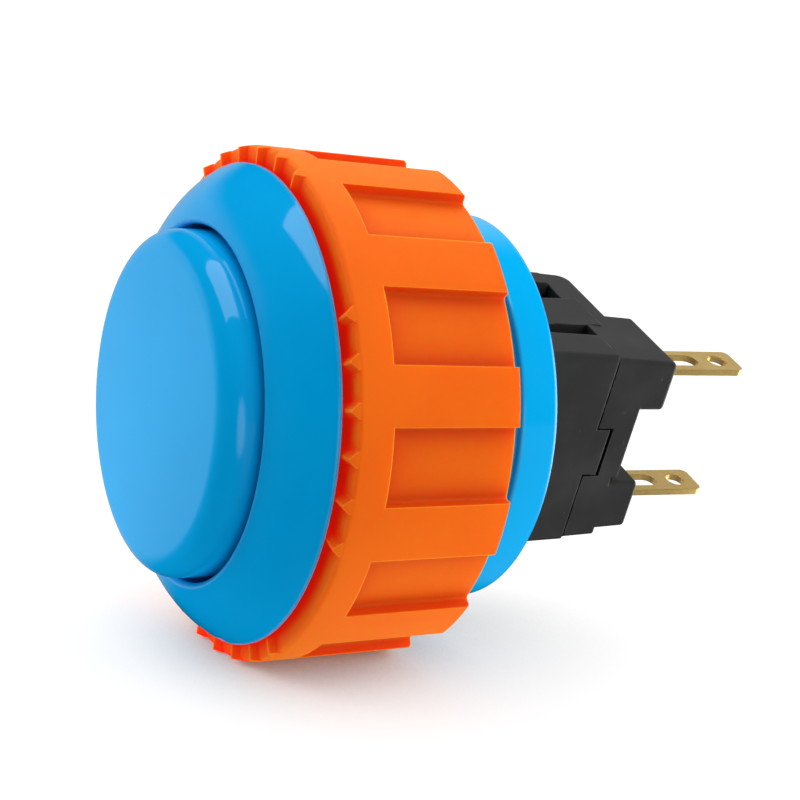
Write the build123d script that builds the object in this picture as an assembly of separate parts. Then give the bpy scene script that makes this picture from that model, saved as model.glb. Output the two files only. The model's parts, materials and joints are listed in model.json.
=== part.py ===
from build123d import *
import os
from math import hypot, radians, tan

# Arcade push button of the screw-in kind, for a 30 mm panel hole.
# Each piece is built with the button's axis along Z, the front at +Z and the panel seat at Z = 0.
# The finished pieces are laid on their side, so that the front faces -Y and the switch points to +Y.
# The switch pieces are built with their width along X and their length along Y.

# Bezel and barrel
bezel_radius = 16.65
bezel_rise = 3.5
bezel_edge = 0.2
bezel_bulge = 0.46
lip_round = 0.35
bore_radius = 12.3
barrel_wall = 1.55
barrel_length = 18.0
rim_round = 0.6
collar_length = 3.0
collar_edge = 0.2
thread_root = 0.65
thread_rise = 0.65
floor_thickness = 1.5
rear_wall = 1.85

# Plunger
plunger_gap = 0.35
plunger_travel = 2.8
plunger_rise = 6.35
face_crown = 0.35
face_round = 1.6
face_wall = 1.5
skirt_wall = 1.3
skirt_depth = 6.0
skirt_clearance = 1.7
guide_clearance = 0.1
guide_count = 4
guide_arc = 9.0
guide_length = 4.0
post_radius = 2.6
web_thickness = 1.0
web_height = 2.2

# Hook legs that keep the plunger in the barrel
leg_inset = 1.4
leg_thickness = 1.6
leg_width = 4.0
leg_clearance = 0.15
leg_flex = 0.7
hook_reach = 0.55
hook_height = 1.5
hook_clearance = 0.1

# Ring nut
nut_wall = 3.3
nut_taper = 0.45
nut_length = 12.75
nut_gap = 0.1
nut_front_round = 0.3
nut_rear_round = 0.3
thread_clearance = 0.1
bore_chamfer = 0.5
band_length = 3.15
pocket_count = 12
pocket_depth = 0.8
pocket_round = 0.25
rib_arc = 13.0
ridge_height = 0.5
ridge_width = 1.05
ridge_crest = 0.15
ridge_slope = 0.1
ridge_inset = 0.04
ridge_pitch = 10.0
ridges_in_group = 6
ridge_groups = 4
ridge_group_angle = 7.0

# Switch housing
switch_turn = -17.0
cover_width = 13.2
cover_length = 15.6
cover_depth = 13.7
cover_draft = 2.5
cover_corner = 0.4
cover_side_wall = 1.0
cover_front_wall = 1.2
parting_gap = 0.12
zig_length = 3.8
zig_offset = -0.15
zig_depth = 1.15
zig_gap = 0.28
base_end_step = 0.2
base_thickness = 2.5
base_round = 0.9
base_corner = 0.4
end_draft = 4.0
tower_length = 4.1
tower_lower_step = 0.54
tower_width = 7.2
tower_height = 2.6
tower_corner = 0.4
tower_edge_round = 0.3
rib_rise = 0.5
rib_notch = 0.5

# Snap tongues of the base in channels of the cover
tongue_width = 4.0
tongue_offset = -0.6
tongue_thickness = 0.9
tongue_length = 6.6
tongue_clearance = 0.05
slot_width = 2.0
slot_floor = 0.5
channel_wall = 0.9
channel_end_gap = 0.3
catch_width = 2.0
catch_length = 1.4
catch_height = 0.6
catch_clearance = 0.12
catch_from_tip = 1.2

# Clips of the barrel that hold the switch
clip_width = 5.0
clip_thickness = 1.2
clip_clearance = 0.12
clip_reach = 4.0
clip_hook = 0.5
clip_hook_height = 1.2
clip_notch_gap = 0.12

# Terminals and contacts
tab_width = 2.8
tab_offset = 2.8
tab_thickness = 0.5
tab_length = 8.08
tab_wall_gap = 0.25
tab_corner = 0.55
tab_fit = 0.05
bend_round = 0.4
oblong_length = 3.3
oblong_width = 1.5
oblong_from_tower = 2.9
wire_hole_radius = 0.75
wire_hole_from_tip = 1.7
contact_radius = 1.1
contact_height = 0.6
contact_round = 0.2
contact_inset = 1.5
contact_clearance = 0.05
bridge_ratio = 0.5
bridge_width = 2.8
bridge_thickness = 0.4
bridge_overhang = 1.2

# Stem and springs
stem_radius = 2.5
stem_clearance = 0.1
stem_reach = 5.5
stem_gap = 0.05
floor_hole_gap = 0.9
flange_length = 6.4
flange_margin = 0.6
flange_height = 2.2
carrier_contact_gap = 0.6
carrier_wall = 0.8
carrier_bar = 0.9
carrier_clearance = 0.45
window_clearance = 0.1
return_wire = 0.45
return_radius = 1.8
return_turns = 6.5
return_offset = -2.4
seat_clearance = 0.15
seat_height = 1.8
contact_wire = 0.3
contact_spring_radius = 0.95
contact_turns = 4.0
contact_spring_length = 3.3

# Levels and radii that follow from the sizes above
barrel_radius = bore_radius + barrel_wall
thread_root_radius = barrel_radius - thread_root
rear_bore_radius = barrel_radius - rear_wall
plunger_radius = bore_radius - plunger_gap
floor_front = skirt_depth + plunger_travel + skirt_clearance
floor_rear = floor_front + floor_thickness
stem_hole_radius = stem_radius + floor_hole_gap
stem_top = -floor_rear + stem_reach
parting = floor_rear + cover_depth
base_front = parting + parting_gap
base_rear = base_front + base_thickness
tower_rear = base_rear + tower_height
cover_growth = cover_depth * tan(radians(cover_draft))
cover_front_half_length = cover_length / 2 + cover_growth
cavity_half_width = cover_width / 2 - cover_side_wall
base_half_length = cover_length / 2 - base_end_step
tongue_inner = base_half_length - tongue_thickness
channel_floor = tongue_inner - tongue_clearance
cavity_half_length = channel_floor - channel_wall
rear_half_length = base_half_length - base_thickness * tan(radians(end_draft))
upper_tower_inner = rear_half_length - tower_length
lower_tower_inner = tower_lower_step + tower_length - rear_half_length
tab_outer = cavity_half_length - tab_wall_gap
tab_inner = tab_outer - tab_thickness
contact_place = tab_outer - tab_thickness / 2 - contact_inset
leg_outer = bore_radius - leg_inset
leg_inner = leg_outer - leg_thickness
nut_bore_radius = barrel_radius + thread_rise + thread_clearance
nut_front_radius = nut_bore_radius + nut_wall
nut_face = nut_gap + ridge_height
pocket_arc = 360 / pocket_count - rib_arc
bar_bottom = -base_front + plunger_travel + carrier_clearance
bridge_bottom = bar_bottom + carrier_bar
bridge_top = bridge_bottom + bridge_thickness
moving_bottom = bridge_bottom - contact_height
contact_gap = bridge_ratio * plunger_travel + contact_clearance
land_top = moving_bottom - contact_gap - contact_height
window_top = bridge_top + contact_spring_length
flange_top = -floor_rear - cover_front_wall - stem_clearance
flange_bottom = flange_top - flange_height
carrier_half_width = bridge_width / 2 + window_clearance + carrier_wall
carrier_half_length = contact_place - contact_radius - carrier_contact_gap


def turn_outline(outline):
    # Solid of revolution about the button's axis, from a closed outline of radius and height.
    return revolve(Plane.XZ * make_face(outline), Axis.Z)


def block(x_low, x_high, y_low, y_high, z_low, z_high):
    size = Box(x_high - x_low, y_high - y_low, z_high - z_low)
    return Pos((x_low + x_high) / 2, (y_low + y_high) / 2, (z_low + z_high) / 2) * size


def post(radius, z_low, z_high, x=0):
    return Pos(x, 0, (z_low + z_high) / 2) * Cylinder(radius, z_high - z_low)


def both_ends(solid):
    # The solid and its mirror image at the other end of the switch.
    return solid + mirror(solid, Plane.XZ)


def both_sides(solid):
    # The solid and its mirror image at the other side of the switch.
    return solid + mirror(solid, Plane.YZ)


def turn_switch(solid):
    return Rot(0, 0, switch_turn) * solid


def make_plunger():
    edge = plunger_rise - face_crown
    inner_radius = plunger_radius - skirt_wall
    under_face = edge - face_wall
    corner = (plunger_radius, edge)
    crown_middle = (plunger_radius / 2, plunger_rise - face_crown / 4)
    outline = ThreePointArc((0, plunger_rise), crown_middle, corner)
    outline += Polyline(
        corner,
        (plunger_radius, -skirt_depth),
        (inner_radius, -skirt_depth),
        (inner_radius, under_face),
        (0, under_face),
        (0, plunger_rise),
    )
    profile = make_face(outline)
    profile = fillet(profile.vertices().sort_by_distance(corner)[0], face_round)
    cap = revolve(Plane.XZ * profile, Axis.Z)

    # Crossed webs and the post that pushes the stem.
    web_reach = plunger_radius - skirt_wall / 2
    web_bottom = under_face - web_height
    web = block(-web_reach, web_reach, -web_thickness / 2, web_thickness / 2, web_bottom, under_face)
    webs = (web + Rot(0, 0, 90) * web) & post(web_reach, web_bottom, under_face)
    push_post = post(post_radius, stem_top + stem_gap, under_face + face_wall / 2)

    # Guide ribs run in the bore.
    guide_outline = Polyline(
        (plunger_radius - skirt_wall / 2, -skirt_depth),
        (bore_radius - guide_clearance, -skirt_depth),
        (bore_radius - guide_clearance, -skirt_depth + guide_length),
        (plunger_radius - skirt_wall / 2, -skirt_depth + guide_length),
        close=True,
    )
    guide = revolve(Plane.XZ * make_face(guide_outline), Axis.Z, revolution_arc=guide_arc)
    guide_step = 360 / guide_count
    for index in range(guide_count):
        cap += Rot(0, 0, guide_step * (index + 0.5) - guide_arc / 2) * guide

    # Legs with outward hooks reach through the inner floor.
    hook_top = -floor_rear - hook_clearance
    hook_bottom = hook_top - hook_height
    leg_outline = Polyline(
        (leg_inner, -skirt_depth + guide_length),
        (leg_outer, -skirt_depth + guide_length),
        (leg_outer, hook_top),
        (leg_outer + hook_reach, hook_top),
        (leg_outer, hook_bottom),
        (leg_inner, hook_bottom),
        close=True,
    )
    leg = extrude(Plane.XZ * make_face(leg_outline), leg_width / 2, both=True)
    return turn_switch(cap + webs + push_post + both_sides(leg))


def make_barrel_bezel():
    mouth = (bore_radius + lip_round, bezel_rise)
    brink = (bezel_radius, bezel_edge)
    chord = hypot(brink[0] - mouth[0], mouth[1] - brink[1])
    outward = ((mouth[1] - brink[1]) / chord, (brink[0] - mouth[0]) / chord)
    swell = (
        (brink[0] + mouth[0]) / 2 + bezel_bulge * outward[0],
        (brink[1] + mouth[1]) / 2 + bezel_bulge * outward[1],
    )
    outline = ThreePointArc(brink, swell, mouth)
    outline += CenterArc((mouth[0], bezel_rise - lip_round), lip_round, 90, 90)
    outline += Polyline(
        (bore_radius, bezel_rise - lip_round),
        (bore_radius, -floor_front),
        (stem_hole_radius, -floor_front),
        (stem_hole_radius, -floor_rear),
        (rear_bore_radius, -floor_rear),
        (rear_bore_radius, -barrel_length),
        (barrel_radius - rim_round, -barrel_length),
    )
    outline += CenterArc((barrel_radius - rim_round, -barrel_length + rim_round), rim_round, 270, 90)

    # A plain collar at the rear, then the thread's root up to the bezel.
    collar_front = -barrel_length + collar_length
    collar_brink = (barrel_radius, collar_front - collar_edge)
    outline += Line((barrel_radius, -barrel_length + rim_round), collar_brink)
    outline += CenterArc((barrel_radius - collar_edge, collar_brink[1]), collar_edge, 0, 90)
    outline += Polyline(
        (barrel_radius - collar_edge, collar_front),
        (thread_root_radius, collar_front),
        (thread_root_radius, 0),
        (bezel_radius, 0),
        brink,
    )
    shell = turn_outline(outline)

    # Slots in the inner floor for the plunger's legs.
    half_slot = leg_width / 2 + leg_clearance
    slot = block(
        leg_inner - leg_flex,
        leg_outer + leg_clearance,
        -half_slot,
        half_slot,
        -floor_rear - floor_thickness,
        -floor_front + floor_thickness,
    )
    shell -= turn_switch(both_sides(slot))

    # Clips behind the floor hook into the switch cover.
    clip_inner = cover_front_half_length + clip_clearance
    hook_top = -floor_rear - clip_reach
    hook_bottom = hook_top - clip_hook_height
    clip_outline = Polyline(
        (clip_inner, -floor_rear + floor_thickness / 2),
        (clip_inner + clip_thickness, -floor_rear + floor_thickness / 2),
        (clip_inner + clip_thickness, hook_bottom),
        (clip_inner, hook_bottom),
        (clip_inner - clip_hook, hook_top - clip_hook_height / 4),
        (clip_inner - clip_hook, hook_top),
        (clip_inner, hook_top),
        close=True,
    )
    clip = extrude(Plane.YZ * make_face(clip_outline), clip_width / 2, both=True)
    return shell + turn_switch(both_ends(clip))


def nut_radius_at(depth):
    return nut_front_radius - nut_taper * (depth - nut_face) / (nut_length - nut_face)


def make_ring_nut():
    front_rim = (nut_front_radius, -nut_face)
    rear_rim = (nut_radius_at(nut_length), -nut_length)
    outline = Polyline(
        (nut_bore_radius + bore_chamfer, -nut_face),
        front_rim,
        rear_rim,
        (nut_bore_radius + bore_chamfer, -nut_length),
        (nut_bore_radius, -nut_length + bore_chamfer),
        (nut_bore_radius, -nut_face - bore_chamfer),
        close=True,
    )
    profile = make_face(outline)
    profile = fillet(profile.vertices().sort_by_distance(front_rim)[0], nut_front_round)
    profile = fillet(profile.vertices().sort_by_distance(rear_rim)[0], nut_rear_round)
    nut = revolve(Plane.XZ * profile, Axis.Z)

    # Pockets between the ribs, open at the rear.
    beyond = nut_front_radius + pocket_depth
    past_rear = nut_length + pocket_depth
    pocket_outline = Polyline(
        (nut_radius_at(band_length) - pocket_depth, -band_length),
        (beyond, -band_length),
        (beyond, -past_rear),
        (nut_radius_at(past_rear) - pocket_depth, -past_rear),
        close=True,
    )
    pocket = revolve(Plane.XZ * make_face(pocket_outline), Axis.Z, revolution_arc=pocket_arc)
    floor_face = pocket.faces().filter_by(GeomType.CONE).sort_by(SortBy.AREA)[0]
    pocket = fillet(floor_face.edges().sort_by(Axis.Z)[1:], pocket_round)
    pocket_step = 360 / pocket_count
    pockets = [Rot(0, 0, pocket_step * index - pocket_arc / 2) * pocket for index in range(pocket_count)]
    nut = nut - pockets

    # Groups of radial ridges on the front face, which reach out over its rounded rim.
    ridge_foot = -nut_face - nut_front_round
    ridge_face = Polyline(
        (-ridge_width / 2, ridge_foot),
        (ridge_width / 2, ridge_foot),
        (ridge_width / 2, -nut_face),
        (ridge_crest / 2, -nut_gap),
        (-ridge_crest / 2, -nut_gap),
        (-ridge_width / 2, -nut_face),
        close=True,
    )
    ridge_inner = nut_bore_radius + bore_chamfer
    ridge = extrude(Plane.YZ.offset(ridge_inner) * make_face(ridge_face), nut_front_radius - ridge_inner)
    ridge_outer = nut_front_radius - ridge_inset
    reach = turn_outline(
        Polyline(
            (ridge_inner, ridge_foot),
            (ridge_outer, ridge_foot),
            (ridge_outer, -nut_face),
            (ridge_outer - ridge_slope, -nut_gap),
            (ridge_inner, -nut_gap),
            close=True,
        )
    )
    ridge = ridge & reach
    for group in range(ridge_groups):
        for index in range(ridges_in_group):
            place = ridge_pitch * (index - (ridges_in_group - 1) / 2)
            nut += Rot(0, 0, ridge_group_angle + 360 / ridge_groups * group + place) * ridge
    return nut


def make_switch_cover():
    half_width = cover_width / 2
    outer = RectangleRounded(cover_width, cover_length, cover_corner)
    cover = extrude(Plane.XY.offset(-parting) * outer, cover_depth, taper=-cover_draft)
    cavity_front = -floor_rear - cover_front_wall
    cover -= block(
        -cavity_half_width,
        cavity_half_width,
        -cavity_half_length,
        cavity_half_length,
        -parting,
        cavity_front,
    )
    cover -= post(stem_radius + stem_clearance, cavity_front, -floor_rear + cover_front_wall)

    # Stepped edges that key into the base at both sides.
    key = block(
        cavity_half_width,
        half_width,
        zig_offset - zig_length / 2,
        zig_offset + zig_length / 2,
        -parting - zig_depth,
        -parting + zig_depth,
    )
    cover += both_sides(key)

    # Channels for the base's tongues, with a deeper slot at both sides of each tongue.
    tongue_low = tongue_offset - tongue_width / 2
    tongue_high = tongue_offset + tongue_width / 2
    channel_front = -base_front + tongue_length + channel_end_gap
    beyond = cover_front_half_length + tongue_thickness
    slot_bottom = cavity_half_length + slot_floor
    channel = block(tongue_low, tongue_high, channel_floor, beyond, -parting, channel_front)
    far_slot = block(tongue_low - slot_width, tongue_low, slot_bottom, beyond, -parting, channel_front)
    near_slot = block(tongue_high, tongue_high + slot_width, slot_bottom, beyond, -parting, channel_front)
    cover -= both_ends(channel + far_slot + near_slot)

    # Catches that the tongues' windows snap over.
    catch_front = -base_front + tongue_length - catch_from_tip
    catch_outline = Polyline(
        (channel_floor - channel_wall / 2, catch_front),
        (channel_floor + catch_height, catch_front),
        (channel_floor + catch_height / 2, catch_front - catch_length),
        (channel_floor - channel_wall / 2, catch_front - catch_length),
        close=True,
    )
    catch = extrude(Plane.YZ * make_face(catch_outline), catch_width / 2, both=True)
    cover += both_ends(Pos(tongue_offset, 0, 0) * catch)

    # Notches for the barrel's clips.
    notch_half = clip_width / 2 + clip_notch_gap
    notch = block(
        -notch_half,
        notch_half,
        cover_front_half_length + clip_clearance - clip_hook - clip_notch_gap,
        beyond,
        -floor_rear - clip_reach - clip_hook_height - clip_notch_gap,
        -floor_rear - clip_reach + clip_notch_gap,
    )
    return turn_switch(cover - both_ends(notch))


def make_tower(outer):
    # Tower for one terminal, with its drafted outer end at the given place on the base.
    rear_outer = outer - tower_height * tan(radians(end_draft))
    outline = Polyline(
        (outer - tower_length, -base_rear),
        (outer, -base_rear),
        (rear_outer, -tower_rear),
        (outer - tower_length, -tower_rear),
        close=True,
    )
    tower = extrude(Plane.YZ * make_face(outline), tower_width / 2, both=True)
    tower = fillet(tower.edges().group_by(Axis.Z)[1], tower_corner)
    tower = fillet(tower.faces().sort_by(Axis.Z)[0].edges(), tower_edge_round)
    return Pos(cover_width / 2 - tower_width / 2, 0, 0) * tower


def make_switch_base():
    half_width = cover_width / 2
    outline = Polyline(
        (-base_half_length, -base_front),
        (base_half_length, -base_front),
        (rear_half_length, -base_rear),
        (-rear_half_length, -base_rear),
        close=True,
    )
    base = extrude(Plane.YZ * make_face(outline), half_width, both=True)
    far_edge = base.edges().filter_by(Axis.Y).sort_by(Axis.Z)[:2].sort_by(Axis.X)[0]
    base = fillet(far_edge, base_round)
    near_edges = base.faces().sort_by(Axis.X)[-1].edges().sort_by(Axis.Y)
    base = fillet([near_edges[0], near_edges[-1]], base_corner)

    # Steps that the cover's keys enter.
    step_half = zig_length / 2 + parting_gap
    step = block(
        cavity_half_width - parting_gap,
        half_width + parting_gap,
        zig_offset - step_half,
        zig_offset + step_half,
        -parting - zig_depth - zig_gap,
        -base_front + zig_depth,
    )
    base -= both_sides(step)

    # Towers that carry the terminals, and the low rib between them with its notch.
    base += make_tower(rear_half_length)
    base += mirror(make_tower(rear_half_length - tower_lower_step), Plane.XZ)
    rib = block(
        half_width - tower_width,
        half_width,
        lower_tower_inner - tower_corner,
        upper_tower_inner + tower_corner,
        -base_rear - rib_rise,
        -base_rear,
    )
    notch = block(
        half_width - rib_notch,
        half_width,
        lower_tower_inner - tower_corner,
        lower_tower_inner + rib_notch,
        -base_rear - rib_rise,
        -base_rear,
    )
    base += rib - notch

    # Snap tongues with windows.
    tongue_low = tongue_offset - tongue_width / 2
    tongue_tip = -base_front + tongue_length
    tongue = block(
        tongue_low,
        tongue_low + tongue_width,
        tongue_inner,
        tongue_inner + tongue_thickness,
        -base_front - base_thickness / 2,
        tongue_tip,
    )
    window_half = catch_width / 2 + catch_clearance
    window = block(
        tongue_offset - window_half,
        tongue_offset + window_half,
        tongue_inner - tongue_thickness,
        tongue_inner + 2 * tongue_thickness,
        tongue_tip - catch_from_tip - catch_length - catch_clearance,
        tongue_tip - catch_from_tip + catch_clearance,
    )
    base += both_ends(tongue - window)

    # Post inside the return spring.
    base += post(
        return_radius - return_wire / 2 - seat_clearance,
        -base_front - base_thickness / 2,
        -base_front + seat_height,
        x=return_offset,
    )

    # Slots for the terminals.
    half_slot = tab_width / 2 + tab_fit
    tab_slot = block(
        tab_offset - half_slot,
        tab_offset + half_slot,
        tab_inner - tab_fit,
        tab_outer + tab_fit,
        -tower_rear - tower_height,
        -base_front + tower_height,
    )
    return turn_switch(base - both_ends(tab_slot))


def make_terminal():
    # Bent strip with a solder tab outside and a land for the fixed contact inside.
    tip = -tower_rear - tab_length
    land_end = contact_place - contact_radius
    strip_outline = Polyline(
        (tab_inner, tip),
        (tab_outer, tip),
        (tab_outer, land_top),
        (land_end, land_top),
        (land_end, land_top - tab_thickness),
        (tab_inner, land_top - tab_thickness),
        close=True,
    )
    strip = extrude(Plane.YZ * make_face(strip_outline), tab_width / 2, both=True)
    bends = strip.edges().filter_by(Axis.X).sort_by(Axis.Y)
    outer_bend = bends[-2:].sort_by(Axis.Z)[-1]
    strip = fillet(outer_bend, bend_round)

    oblong_centre = -tower_rear - oblong_from_tower
    hole_side = Plane.XZ.offset(tab_thickness - tab_inner)
    oblong = Pos(0, oblong_centre) * Rot(0, 0, 90) * SlotOverall(oblong_length, oblong_width)
    wire_hole = Pos(0, tip + wire_hole_from_tip) * Circle(wire_hole_radius)
    strip -= extrude(hole_side * (oblong + wire_hole), -3 * tab_thickness)
    corners = strip.edges().filter_by(Axis.Y).sort_by(Axis.Z)[:2]
    strip = fillet(corners, tab_corner)
    return Pos(tab_offset, 0, 0) * strip


def make_contact(z_low):
    # Rivet head with a rounded rim.
    head = post(contact_radius, z_low, z_low + contact_height)
    rims = head.edges().filter_by(GeomType.CIRCLE)
    return Pos(tab_offset, contact_place, 0) * fillet(rims, contact_round)


def make_contact_bridge():
    half_length = contact_place + bridge_overhang
    bridge = block(
        tab_offset - bridge_width / 2,
        tab_offset + bridge_width / 2,
        -half_length,
        half_length,
        bridge_bottom,
        bridge_top,
    )
    return turn_switch(bridge)


def make_switch_stem():
    half_flange = cavity_half_width - flange_margin
    stem = post(stem_radius, flange_bottom, stem_top)
    stem += block(-half_flange, half_flange, -flange_length / 2, flange_length / 2, flange_bottom, flange_top)

    # Carrier frame around the contact bridge.
    carrier = block(
        tab_offset - carrier_half_width,
        tab_offset + carrier_half_width,
        -carrier_half_length,
        carrier_half_length,
        bar_bottom,
        flange_bottom + flange_height / 2,
    )
    window = block(
        tab_offset - carrier_half_width + carrier_wall,
        tab_offset + carrier_half_width - carrier_wall,
        -2 * carrier_half_length,
        2 * carrier_half_length,
        bridge_bottom,
        window_top,
    )
    stem += carrier - window
    stem += post(
        return_radius - return_wire / 2 - seat_clearance,
        flange_bottom - seat_height,
        flange_bottom + flange_height / 2,
        x=return_offset,
    )
    return turn_switch(stem)


def make_coil(radius, wire, turns, z_low, z_high, x):
    rise = z_high - z_low - wire
    path = Helix(rise / turns, rise, radius)
    coil = sweep(Plane(path @ 0, z_dir=path % 0) * Circle(wire / 2), path, is_frenet=True)
    return turn_switch(Pos(x, 0, z_low + wire / 2) * coil)


def make_return_spring():
    return make_coil(return_radius, return_wire, return_turns, -base_front, flange_bottom, return_offset)


def make_contact_spring():
    return make_coil(contact_spring_radius, contact_wire, contact_turns, bridge_top, window_top, tab_offset)


terminal = make_terminal()
moving_contact = make_contact(moving_bottom)
fixed_contact = make_contact(land_top)
nodes = {
    "plunger": make_plunger(),
    "barrel_bezel": make_barrel_bezel(),
    "ring_nut": make_ring_nut(),
    "switch_cover": make_switch_cover(),
    "switch_base": make_switch_base(),
    "switch_stem": make_switch_stem(),
    "terminal_upper": turn_switch(terminal),
    "terminal_lower": turn_switch(mirror(terminal, Plane.XZ)),
    "fixed_contact_upper": turn_switch(fixed_contact),
    "fixed_contact_lower": turn_switch(mirror(fixed_contact, Plane.XZ)),
    "moving_contact_upper": turn_switch(moving_contact),
    "moving_contact_lower": turn_switch(mirror(moving_contact, Plane.XZ)),
    "contact_bridge": make_contact_bridge(),
    "contact_spring": make_contact_spring(),
    "return_spring": make_return_spring(),
}

os.makedirs("parts", exist_ok=True)
for name, solid in nodes.items():
    export_step(Rot(90, 0, 0) * solid, f"parts/{name}.step")
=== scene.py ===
import json
from math import ceil, cos, pi, radians, sin

import bpy
from mathutils import Matrix, Vector


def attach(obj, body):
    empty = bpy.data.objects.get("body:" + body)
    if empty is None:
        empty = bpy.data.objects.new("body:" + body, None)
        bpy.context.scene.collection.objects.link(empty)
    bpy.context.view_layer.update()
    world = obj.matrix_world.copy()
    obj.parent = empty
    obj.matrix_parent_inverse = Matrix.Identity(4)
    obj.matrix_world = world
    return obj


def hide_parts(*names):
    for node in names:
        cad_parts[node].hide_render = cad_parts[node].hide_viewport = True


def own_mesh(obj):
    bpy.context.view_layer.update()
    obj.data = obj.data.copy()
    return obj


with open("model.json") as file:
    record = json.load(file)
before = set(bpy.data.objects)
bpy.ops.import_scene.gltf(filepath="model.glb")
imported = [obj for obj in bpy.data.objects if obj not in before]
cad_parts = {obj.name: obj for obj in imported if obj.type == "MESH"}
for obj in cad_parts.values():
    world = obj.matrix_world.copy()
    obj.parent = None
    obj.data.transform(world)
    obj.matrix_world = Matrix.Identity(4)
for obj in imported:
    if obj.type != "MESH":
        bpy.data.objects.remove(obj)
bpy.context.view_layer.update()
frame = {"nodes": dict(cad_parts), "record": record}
cadNodes = frame["nodes"]
behaviour = frame["record"]["behaviour"]
scene = bpy.context.scene
scene.view_settings.view_transform = "Standard"
print("frame loaded:", len(cadNodes), "solids")


# node wiring

class Wire:
    # a socket whose sums add Math nodes
    def __init__(self, tree, socket=None):
        self.tree = tree
        self.socket = socket

    def node(self, kind, settings=None, inputs=None, out=0):
        made = self.tree.nodes.new(kind)
        for key, value in (settings or {}).items():
            setattr(made, key, value)
        for key, value in (inputs or {}).items():
            if isinstance(value, Wire):
                self.tree.links.new(value.socket, made.inputs[key])
            else:
                made.inputs[key].default_value = value
        return Wire(self.tree, made.outputs[out] if made.outputs else None)

    def maths(self, operation, first, second):
        return self.node("ShaderNodeMath", {"operation": operation}, {0: first, 1: second})

    def __add__(self, other):
        return self.maths("ADD", self, other)

    def __radd__(self, other):
        return self.maths("ADD", other, self)

    def __sub__(self, other):
        return self.maths("SUBTRACT", self, other)

    def __rsub__(self, other):
        return self.maths("SUBTRACT", other, self)

    def __mul__(self, other):
        return self.maths("MULTIPLY", self, other)

    def __rmul__(self, other):
        return self.maths("MULTIPLY", other, self)

    def __pow__(self, other):
        return self.maths("POWER", self, other)

    def band(self, low, high):
        # 0 below low, 1 above high, smooth between
        return self.node(
            "ShaderNodeMapRange",
            {"interpolation_type": "SMOOTHSTEP"},
            {"Value": self, "From Min": low, "From Max": high},
        )

    def blend(self, first, second):
        # colour first where this is 0, second where it is 1
        return self.node(
            "ShaderNodeMix",
            {"data_type": "RGBA", "clamp_factor": True},
            {0: self, 6: opaque(first), 7: opaque(second)},  # 6 and 7 take colours
            out=2,
        )


def opaque(colour):
    # a wire as it is, three numbers with full alpha
    return colour if isinstance(colour, Wire) else (*colour, 1)


def startMaterial(name):
    material = bpy.data.materials.new(name)
    material.use_nodes = True
    tree = material.node_tree
    tree.nodes.clear()
    return material, Wire(tree)


def endMaterial(wire, shader):
    wire.node("ShaderNodeOutputMaterial", {}, {"Surface": shader})


def objectPlace(wire):
    return wire.node("ShaderNodeTexCoord", out="Object")


def part(wire, vector, axis):
    return wire.node("ShaderNodeSeparateXYZ", {}, {0: vector}, out=axis)


def dot(wire, first, second):
    return wire.node(
        "ShaderNodeVectorMath", {"operation": "DOT_PRODUCT"}, {0: first, 1: second}, out="Value"
    )


def noise(wire, place, scale, detail, roughness=0.5, distortion=0.0):
    return wire.node(
        "ShaderNodeTexNoise",
        {},
        {
            "Vector": place,
            "Scale": scale,
            "Detail": detail,
            "Roughness": roughness,
            "Distortion": distortion,
        },
    )


def bump(wire, height, depth, strength, normal=None):
    inputs = {"Height": height, "Distance": depth, "Strength": strength}
    if normal is not None:
        inputs["Normal"] = normal
    return wire.node("ShaderNodeBump", {}, inputs)


shading = {"bevelSamples": 4, "openSamples": 6, "edgeBand": (0.82, 0.995)}


def softNormal(wire, radius):
    # normal that rounds the edges
    return wire.node("ShaderNodeBevel", {"samples": shading["bevelSamples"]}, {"Radius": radius})


def edgeMask(wire, soft):
    # 1 on edges, 0 on flat faces
    flat = wire.node("ShaderNodeNewGeometry", out="Normal")
    return 1 - dot(wire, soft, flat).band(*shading["edgeBand"])


def openness(wire, distance, alone=False, **inputs):
    # 1 on open faces, toward 0 deep in gaps and corners
    return wire.node(
        "ShaderNodeAmbientOcclusion",
        {"samples": shading["openSamples"], "only_local": alone},
        {"Distance": distance, **inputs},
        out="AO",
    )


def wear(material, *pieces):
    for piece in pieces:
        piece.data.materials.clear()
        piece.data.materials.append(material)


def dress(material, *names):
    wear(material, *(cadNodes[name] for name in names))


# camera at the photo's viewing angle

view = {
    "azimuth": 60.926,
    "elevation": 11.741,
    "roll": 6.721,
    "place": (0.141686, -0.065708, 0.033986),
    "lens": 103.5,
    "sensor": 36,
    "clip": (0.005, 20),
}


def makeCamera():
    a, e, r = (radians(view[k]) for k in ("azimuth", "elevation", "roll"))
    back = Vector((sin(a) * cos(e), -cos(a) * cos(e), sin(e)))
    level = Vector((0, 0, 1)).cross(back).normalized()
    upright = back.cross(level)
    right = cos(r) * level + sin(r) * upright
    up = cos(r) * upright - sin(r) * level
    data = bpy.data.cameras.new("photoCamera")
    data.lens = view["lens"]
    data.sensor_width = view["sensor"]
    data.clip_start, data.clip_end = view["clip"]
    camera = bpy.data.objects.new("photoCamera", data)
    scene.collection.objects.link(camera)
    turn = Matrix((right, up, back)).transposed().to_4x4()
    camera.matrix_world = Matrix.Translation(view["place"]) @ turn
    scene.camera = camera


makeCamera()
print("camera placed")


# threads on the barrel and in the nut, half a pitch apart

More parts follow.
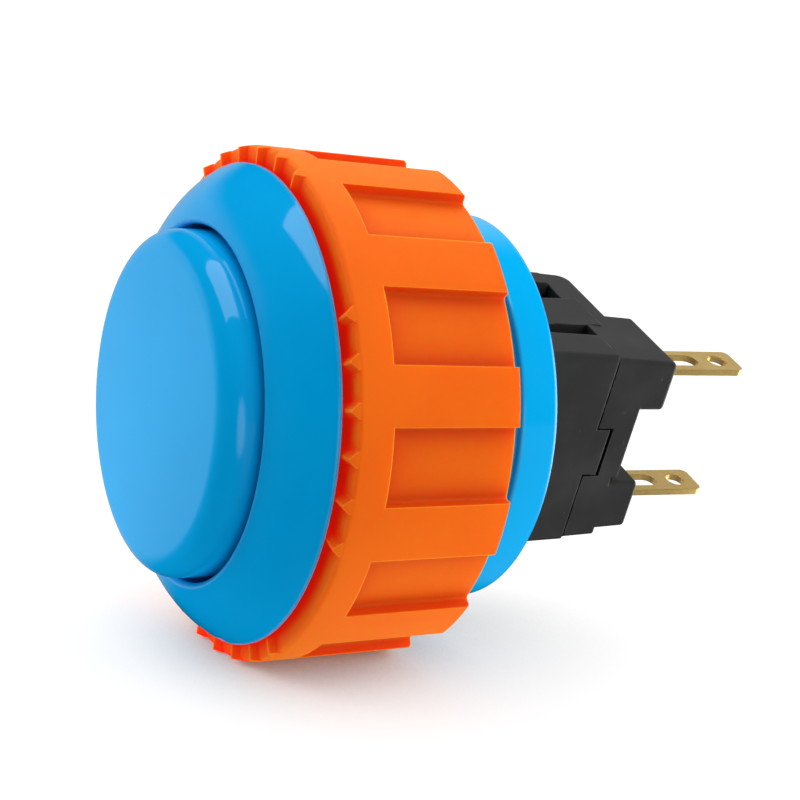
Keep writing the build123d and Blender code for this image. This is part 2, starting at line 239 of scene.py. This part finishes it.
thread = {
    "root": 0.01315,
    "crest": 0.0145,
    "pitch": 0.0025,
    "footHalf": 0.00098,
    "topHalf": 0.00034,
    "start": 0.0011,
    "end": 0.0114,
    "fadeTurns": 0.35,
    "fadeLow": 0.02,
    "phase": 0.0,
    "stepsPerTurn": 120,
    "sharpAngle": 32,
}
nutThread = {
    "root": 0.01463,
    "crest": 0.01395,
    "pitch": 0.0025,
    "footHalf": 0.00078,
    "topHalf": 0.0005,
    "start": 0.00235,
    "end": 0.01115,
    "fadeTurns": 0.25,
    "fadeLow": 0.02,
    "phase": 0.5,
    "stepsPerTurn": 120,
    "sharpAngle": 32,
}


def threadCorners(form, turnsFromEnd):
    # (radius, offset along the axis) of the thread's section, low at its ends
    rise = min(1, max(form["fadeLow"], turnsFromEnd / form["fadeTurns"]))
    root, foot = form["root"], form["footHalf"]
    crest = root + (form["crest"] - root) * rise
    top = foot - (foot - form["topHalf"]) * rise
    return [(root, -foot), (crest, -top), (crest, top), (root, foot)]


def helixPiece(name, form, body):
    start, pitch = form["start"], form["pitch"]
    turns = (form["end"] - start) / pitch
    count = ceil(turns * form["stepsPerTurn"])
    points, faces = [], []
    for i in range(count + 1):
        turn = turns * i / count
        corners = threadCorners(form, min(turn, turns - turn))
        angle = 2 * pi * (start / pitch + turn + form["phase"])
        for radius, offset in corners:
            along = start + pitch * turn + offset
            points.append((radius * sin(angle), along, radius * cos(angle)))
    n = len(corners)
    for i in range(count):
        for k in range(n):
            a, b = i * n + k, i * n + (k + 1) % n
            faces.append((a, a + n, b + n, b))
    faces.append(tuple(range(n)))
    faces.append(tuple(count * n + k for k in reversed(range(n))))
    if form["crest"] < form["root"]:  # inward thread
        faces = [face[::-1] for face in faces]
    mesh = bpy.data.meshes.new(name)
    mesh.from_pydata(points, [], faces)
    mesh.shade_smooth()
    mesh.set_sharp_from_angle(angle=radians(form["sharpAngle"]))
    piece = bpy.data.objects.new(name, mesh)
    scene.collection.objects.link(piece)
    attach(piece, body)
    return piece


barrelHelix = helixPiece("barrelThread", thread, "barrel")
nutHelix = helixPiece("nutThread", nutThread, "nut")
print("threads made")


# spring copies attached to their bodies, with the CAD springs hidden

def springPiece(spring):
    node = spring["node"]
    body = next(b for b, nodes in behaviour["bodies"].items() if node in nodes)
    piece = bpy.data.objects.new(node + "Coil", cadNodes[node].data.copy())
    scene.collection.objects.link(piece)
    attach(piece, body)
    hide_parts(node)
    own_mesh(piece)
    return piece


coils = [
    springPiece(spring)
    for joint in behaviour["joints"]
    for spring in joint.get("deforming_nodes", [])
]
print("springs made:", len(coils))


# glossy blue moulding, with painted light: a paler barrel behind the nut and painted highlights
# along its edges

blue = {
    "colour": (0.0, 0.375, 0.80),
    "deep": (0.0, 0.355, 0.77),
    "cloud": {"scale": 90, "detail": 3},
    "cloudBand": (0.35, 0.7),
    "paintedLitBlue": (0.0, 0.435, 0.92),  # painted light: a paler barrel behind the nut, lifting the shade the nut casts there
    "paintedLitBand": (0.0120, 0.0128),
    "edge": 0.00026,
    # painted highlight: a paler tint along the edges
    "paintedEdgeHighlight": (0.25, 0.66, 0.98),
    "roughness": 0.07,
    "haze": 0.03,
    "smear": {"scale": 260, "detail": 4, "roughness": 0.6, "distortion": 0.6},
    "smearBand": (0.45, 0.75),
    "ior": 1.5,
    "peel": {"scale": 2600, "detail": 2},
    "peelBump": {"depth": 0.00002, "strength": 0.06},
}


def makeBlue():
    material, wire = startMaterial("bluePlastic")
    place = objectPlace(wire)
    cloud = noise(wire, place, **blue["cloud"])
    colour = cloud.band(*blue["cloudBand"]).blend(blue["deep"], blue["colour"])
    # painted light: the barrel behind the nut is made paler to offset its shade
    rear = part(wire, place, "Y").band(*blue["paintedLitBand"])
    colour = rear.blend(colour, blue["paintedLitBlue"])
    soft = softNormal(wire, blue["edge"])
    # painted highlight: edges tinted paler
    colour = edgeMask(wire, soft).blend(colour, blue["paintedEdgeHighlight"])
    smear = noise(wire, place, **blue["smear"]).band(*blue["smearBand"])
    peel = noise(wire, place, **blue["peel"])
    shader = wire.node(
        "ShaderNodeBsdfPrincipled",
        {},
        {
            "Base Color": colour,
            "Roughness": blue["roughness"] + blue["haze"] * smear,
            "IOR": blue["ior"],
            "Normal": bump(wire, peel, normal=soft, **blue["peelBump"]),
        },
    )
    endMaterial(wire, shader)
    return material


bluePlastic = makeBlue()
dress(bluePlastic, "plunger", "barrel_bezel")
wear(bluePlastic, barrelHelix)
print("blue plastic done")


# satin orange moulding, with painted shade that makes its pockets and corners redder, and a painted
# red glow in the gap behind the bezel

orange = {
    "colour": (0.90, 0.16, 0.004),
    "deep": (0.87, 0.142, 0.003),
    "cloud": {"scale": 120, "detail": 4},
    "cloudBand": (0.3, 0.7),
    "cloudMid": 0.5,
    "edge": 0.00016,
    # painted highlight: a lighter orange along the edges
    "paintedEdgeHighlight": (1.0, 0.29, 0.02),
    # painted shade: redder and darker in pockets and corners
    "corner": (0.71, 0.072, 0.003),
    "cornerReach": 0.006,
    "cornerBand": (0.8, 1.0),
    # painted shade: deep red in the gap behind the bezel
    "paintedGapShade": (0.75, 0.008, 0.001),
    "paintedGapReach": 0.0014,
    "paintedGapBand": (0.4, 1.0),
    # painted glow: red emission in that gap, though the part is no lamp
    "glow": (0.42, 0.004, 0.001),
    "glowOff": (0, 0, 0),
    "glowBand": (0.0008, 0.0015),  # along the axis, behind the nut's front face
    "glowStrength": 1.0,
    "roughness": 0.5,
    "roughSpread": 0.1,
    "ior": 1.48,
    "specular": 0.06,
    "subsurface": 0.7,
    "subsurfaceRadius": (1.0, 0.12, 0.02),
    "subsurfaceScale": 0.003,
    "grain": {"scale": 3200, "detail": 3},
    "grainBump": {"depth": 0.00002, "strength": 0.12},
}


def makeOrange():
    material, wire = startMaterial("orangePlastic")
    place = objectPlace(wire)
    cloud = noise(wire, place, **orange["cloud"])
    colour = cloud.band(*orange["cloudBand"]).blend(orange["deep"], orange["colour"])
    # painted shade in pockets and corners, from an occlusion mask
    corner = 1 - openness(wire, orange["cornerReach"], alone=True).band(*orange["cornerBand"])
    colour = corner.blend(colour, orange["corner"])
    soft = softNormal(wire, orange["edge"])
    # painted highlight: edges tinted lighter
    colour = edgeMask(wire, soft).blend(colour, orange["paintedEdgeHighlight"])
    # painted shade and painted glow in the gap behind the bezel
    front = 1 - part(wire, place, "Y").band(*orange["glowBand"])
    paintedGapShade = front * (1 - openness(wire, orange["paintedGapReach"]).band(*orange["paintedGapBand"]))
    grain = noise(wire, place, **orange["grain"])
    shader = wire.node(
        "ShaderNodeBsdfPrincipled",
        {},
        {
            "Base Color": paintedGapShade.blend(colour, orange["paintedGapShade"]),
            "Emission Color": paintedGapShade.blend(orange["glowOff"], orange["glow"]),
            "Emission Strength": orange["glowStrength"],
            "Roughness": orange["roughness"] + orange["roughSpread"] * (cloud - orange["cloudMid"]),
            "IOR": orange["ior"],
            "Specular IOR Level": orange["specular"],
            "Subsurface Weight": orange["subsurface"],
            "Subsurface Radius": orange["subsurfaceRadius"],
            "Subsurface Scale": orange["subsurfaceScale"],
            "Normal": bump(wire, grain, normal=soft, **orange["grainBump"]),
        },
    )
    endMaterial(wire, shader)
    return material


orangePlastic = makeOrange()
dress(orangePlastic, "ring_nut")
wear(orangePlastic, nutHelix)
print("orange plastic done")


# black switch housing with specks and scuffed edges, and painted shade deep in its gaps and slots

black = {
    "colour": (0.029, 0.0285, 0.0285),
    "pale": (0.15, 0.145, 0.135),
    "cloud": {"scale": 240, "detail": 4},
    "cloudBand": (0.4, 0.8),
    "cloudShare": 0.12,
    "cloudMid": 0.5,
    "speck": {"scale": 1500, "detail": 3, "roughness": 0.7},
    "speckBand": (0.68, 0.78),
    "speckShare": 0.5,
    "edge": 0.00018,
    "scuff": {"scale": 900, "detail": 4, "roughness": 0.7},
    "scuffBand": (0.42, 0.6),
    "scuffShare": 0.8,
    # painted shade: near-black deep in gaps and slots
    "paintedGapShade": (0.002, 0.002, 0.002),
    "paintedGapReach": 0.0016,
    "paintedGapBand": (0.2, 0.75),
    "roughness": 0.42,
    "roughSpread": 0.12,
    "ior": 1.48,
    "specular": 0.3,
    "grain": {"scale": 4200, "detail": 3},
    "grainBump": {"depth": 0.00002, "strength": 0.2},
}


def makeBlack():
    material, wire = startMaterial("blackPlastic")
    place = objectPlace(wire)
    cloud = noise(wire, place, **black["cloud"])
    specks = noise(wire, place, **black["speck"]).band(*black["speckBand"])
    soft = softNormal(wire, black["edge"])
    worn = noise(wire, place, **black["scuff"]).band(*black["scuffBand"])
    scuffs = edgeMask(wire, soft) * worn
    marks = black["cloudShare"] * cloud.band(*black["cloudBand"])
    marks = marks + black["speckShare"] * specks + black["scuffShare"] * scuffs
    colour = marks.blend(black["colour"], black["pale"])
    # painted shade: near-black where the housing is closed in
    clear = openness(wire, black["paintedGapReach"]).band(*black["paintedGapBand"])
    grain = noise(wire, place, **black["grain"])
    shader = wire.node(
        "ShaderNodeBsdfPrincipled",
        {},
        {
            "Base Color": clear.blend(black["paintedGapShade"], colour),
            "Roughness": black["roughness"] + black["roughSpread"] * (cloud - black["cloudMid"]),
            "IOR": black["ior"],
            "Specular IOR Level": black["specular"],
            "Normal": bump(wire, grain, normal=soft, **black["grainBump"]),
        },
    )
    endMaterial(wire, shader)
    return material


dress(makeBlack(), "switch_cover", "switch_base")
print("black plastic done")


# gold-plated terminals and the metal inside

metals = {
    "goldPlate": {
        "colour": (0.94, 0.66, 0.23),
        "dull": (0.88, 0.59, 0.19),
        "roughness": 0.24,
        "metallic": 0.75,
    },
    "brassStrip": {
        "colour": (0.72, 0.50, 0.20),
        "dull": (0.58, 0.38, 0.14),
        "roughness": 0.34,
        "metallic": 1.0,
    },
    "springSteel": {
        "colour": (0.62, 0.62, 0.61),
        "dull": (0.45, 0.45, 0.45),
        "roughness": 0.24,
        "metallic": 1.0,
    },
    "contactSilver": {
        "colour": (0.80, 0.79, 0.76),
        "dull": (0.60, 0.58, 0.54),
        "roughness": 0.3,
        "metallic": 1.0,
    },
}
drawnMetal = {
    "cloud": {"scale": 600, "detail": 4},
    "cloudBand": (0.35, 0.75),
    "stretch": (6000, 500, 6000),  # fine lines along the strip
    "lines": {"scale": 1, "detail": 2},
    "lineMid": 0.5,
    "lineBump": {"depth": 0.00001, "strength": 0.05},
    "roughSpread": 0.1,
    "edge": 0.00006,
}


def makeMetal(name):
    metal = metals[name]
    material, wire = startMaterial(name)
    place = objectPlace(wire)
    cloud = noise(wire, place, **drawnMetal["cloud"])
    colour = cloud.band(*drawnMetal["cloudBand"]).blend(metal["colour"], metal["dull"])
    stretched = wire.node(
        "ShaderNodeMapping", {}, {"Vector": place, "Scale": drawnMetal["stretch"]}
    )
    lines = noise(wire, stretched, **drawnMetal["lines"])
    spread = drawnMetal["roughSpread"] * (lines - drawnMetal["lineMid"])
    soft = softNormal(wire, drawnMetal["edge"])
    shader = wire.node(
        "ShaderNodeBsdfPrincipled",
        {},
        {
            "Base Color": colour,
            "Metallic": metal["metallic"],
            "Roughness": metal["roughness"] + spread,
            "Normal": bump(wire, lines, normal=soft, **drawnMetal["lineBump"]),
        },
    )
    endMaterial(wire, shader)
    return material


dress(makeMetal("goldPlate"), "terminal_upper", "terminal_lower")
dress(makeMetal("brassStrip"), "contact_bridge")
springSteel = makeMetal("springSteel")
dress(springSteel, "return_spring", "contact_spring")
wear(springSteel, *coils)
dress(
    makeMetal("contactSilver"),
    "fixed_contact_upper",
    "fixed_contact_lower",
    "moving_contact_upper",
    "moving_contact_lower",
)
print("metals done")


# cream stem inside the switch

cream = {
    "colour": (0.60, 0.57, 0.49),
    "deep": (0.52, 0.49, 0.41),
    "cloud": {"scale": 300, "detail": 3},
    "cloudBand": (0.3, 0.7),
    "cloudMid": 0.5,
    "roughness": 0.45,
    "roughSpread": 0.1,
    "grain": {"scale": 4000, "detail": 2},
    "grainBump": {"depth": 0.00002, "strength": 0.15},
}


def makeCream():
    material, wire = startMaterial("creamPlastic")
    place = objectPlace(wire)
    cloud = noise(wire, place, **cream["cloud"])
    grain = noise(wire, place, **cream["grain"])
    shader = wire.node(
        "ShaderNodeBsdfPrincipled",
        {},
        {
            "Base Color": cloud.band(*cream["cloudBand"]).blend(cream["deep"], cream["colour"]),
            "Roughness": cream["roughness"] + cream["roughSpread"] * (cloud - cream["cloudMid"]),
            "Normal": bump(wire, grain, **cream["grainBump"]),
        },
    )
    endMaterial(wire, shader)
    return material


dress(makeCream(), "switch_stem")
print("stem done")


# pale floor under the nut and a white room that is dim toward the camera
# mirrored rays see a soft box, two windows and a backdrop instead

studio = {
    "floorHalf": 3.0,
    "floorFront": 0.004,  # the nut's front band ends here
    "floorBack": 0.0118,  # the nut's rear end starts here
    "floorTint": (0.24, 0.24, 0.24),
    "floorLift": 0.02,
    "floorOpen": 0.79,
    "floorReach": 0.027,
    "floorFacing": (0.52, 0.1, 0.85),
    "floorFall": 3,
    "floorGlow": 1.25,
    "floorDim": 0.35,
    "dimBand": (0.2, 0.9),
    "floorLeft": 0.95,
    "leftBand": (0.0, 0.6),
    "floorUnder": 0.8,
    "underBand": (0.018, 0.027),
    "floorRear": 0.15,
    "rearBand": (0.1, 0.3),
    "backdrop": 0.38,
    "backdropBand": (-0.75, -0.35),
    "backdropHigh": 0.48,
    "behindBand": (-0.7, -0.3),
    "lowBand": (0.2, 0.4),
    "highBand": (0.1, 0.4),
    "tent": 1.58,
    "tentRise": 2.4,
    "tentDip": 0.5,
    "tentFall": 0.5,
    "leftLift": 0.32,
    "leftLiftBand": (-0.8, -0.1),
    "darkWay": (0.61, -0.78, 0.1),
    "leftWay": (-0.8, -0.6, 0.0),
    "rearWindow": 3.4,
    "rearWindowBand": (0.92, 0.98),
    "sideWindow": 1.3,
    "sideWindowBand": (0.94, 0.985),
    "boxSize": (0.255, 0.31),
    "boxPlace": (-0.0075, -0.035, 0.30),
    "boxPower": 0.5,
    "white": (1, 1, 1),
}


def windows(along, across):
    # bright windows straight behind the terminals and to the right
    rear = studio["rearWindow"] * along.band(*studio["rearWindowBand"])
    return rear + studio["sideWindow"] * across.band(*studio["sideWindowBand"])


def floorMesh():
    # plane through the nut's lowest points at its front and at its rear
    corners = [v.co for v in cadNodes["ring_nut"].data.vertices]
    frontLow = min((c for c in corners if c.y < studio["floorFront"]), key=lambda c: c.z)
    rearLow = min((c for c in corners if c.y > studio["floorBack"]), key=lambda c: c.z)
    slope = (rearLow.z - frontLow.z) / (rearLow.y - frontLow.y)
    half = studio["floorHalf"]
    near, far = (frontLow.z + slope * (y - frontLow.y) for y in (-half, half))
    mesh = bpy.data.meshes.new("floor")
    points = [(-half, -half, near), (half, -half, near), (half, half, far), (-half, half, far)]
    mesh.from_pydata(points, [], [(0, 1, 2, 3)])
    return mesh


def floorMaterial():
    material, wire = startMaterial("floorPaper")
    seen = wire.node("ShaderNodeLightPath", out="Is Camera Ray")
    mirrored = wire.node("ShaderNodeLightPath", out="Is Glossy Ray")
    place = objectPlace(wire)
    outward = wire.node("ShaderNodeVectorMath", {"operation": "NORMALIZE"}, {0: place})
    away = wire.node("ShaderNodeVectorMath", {"operation": "LENGTH"}, {0: place}, out="Value")
    across, along = part(wire, outward, "X"), part(wire, outward, "Y")
    # what the camera sees: paper with a soft shadow
    paper = wire.node("ShaderNodeBsdfDiffuse", {}, {"Color": opaque(studio["floorTint"])})
    clear = openness(wire, studio["floorReach"], Normal=studio["floorFacing"])
    shut = (1 - clear) ** studio["floorFall"]
    shade = studio["floorLift"] + studio["floorOpen"] * (1 - shut)
    lift = wire.node("ShaderNodeEmission", {}, {"Strength": shade})
    pictured = wire.node("ShaderNodeAddShader", {}, {0: paper, 1: lift})
    # what the glossy surfaces mirror
    gloss = studio["backdrop"] * (1 - across.band(*studio["backdropBand"]))
    behind = across.band(*studio["rearBand"]) * along.band(*studio["rearBand"])
    gloss = gloss + studio["floorRear"] * behind + windows(along, across)
    # what lights the part from below
    dark = dot(wire, outward, studio["darkWay"]).band(*studio["dimBand"])
    matt = studio["floorGlow"] + (studio["floorDim"] - studio["floorGlow"]) * dark
    left = dot(wire, outward, studio["leftWay"]).band(*studio["leftBand"])
    matt = matt + studio["floorLeft"] * left
    under = studio["floorUnder"]
    matt = matt * (under + (1 - under) * away.band(*studio["underBand"]))
    glow = matt + mirrored * (gloss - matt)
    around = wire.node("ShaderNodeEmission", {}, {"Strength": glow})
    endMaterial(wire, wire.node("ShaderNodeMixShader", {}, {0: seen, 1: around, 2: pictured}))
    return material


def makeFloor():
    floor = bpy.data.objects.new("floor", floorMesh())
    scene.collection.objects.link(floor)
    wear(floorMaterial(), floor)


def makeLights():
    box = bpy.data.objects.new("softBox", bpy.data.lights.new("softBox", "AREA"))
    box.data.shape = "RECTANGLE"
    box.data.size, box.data.size_y = studio["boxSize"]
    box.data.energy = studio["boxPower"]
    box.location = studio["boxPlace"]
    box.visible_diffuse = False
    scene.collection.objects.link(box)


def makeRoom():
    world = bpy.data.worlds.new("paleRoom")
    scene.world = world
    world.use_nodes = True
    tree = world.node_tree
    tree.nodes.clear()
    wire = Wire(tree)
    seen = wire.node("ShaderNodeLightPath", out="Is Camera Ray")
    mirrored = wire.node("ShaderNodeLightPath", out="Is Glossy Ray")
    way = wire.node("ShaderNodeTexCoord", out="Generated")
    across, along, height = (part(wire, way, axis) for axis in "XYZ")
    # what the glossy surfaces mirror
    behind = 1 - across.band(*studio["behindBand"])
    low = studio["backdrop"] * (1 - height.band(*studio["lowBand"]))
    high = studio["backdropHigh"] * along.band(*studio["highBand"])
    gloss = behind * wire.maths("MAXIMUM", low, high) + windows(along, across)
    # what lights the part: bright away from darkWay, a little more on the left
    facing = (1 - dot(wire, way, studio["darkWay"])) ** studio["tentFall"]
    rise = studio["tentRise"] * facing - studio["tentDip"]
    tent = wire.maths("MINIMUM", wire.maths("MAXIMUM", rise, 0.0), studio["tent"])
    tent = tent + studio["leftLift"] * (1 - across.band(*studio["leftLiftBand"]))
    level = tent + seen * (1 - tent) + mirrored * (gloss - tent)
    colour = opaque(studio["white"])
    light = wire.node("ShaderNodeBackground", {}, {"Color": colour, "Strength": level})
    wire.node("ShaderNodeOutputWorld", {}, {"Surface": light})


makeFloor()
makeLights()
makeRoom()
print("studio done")
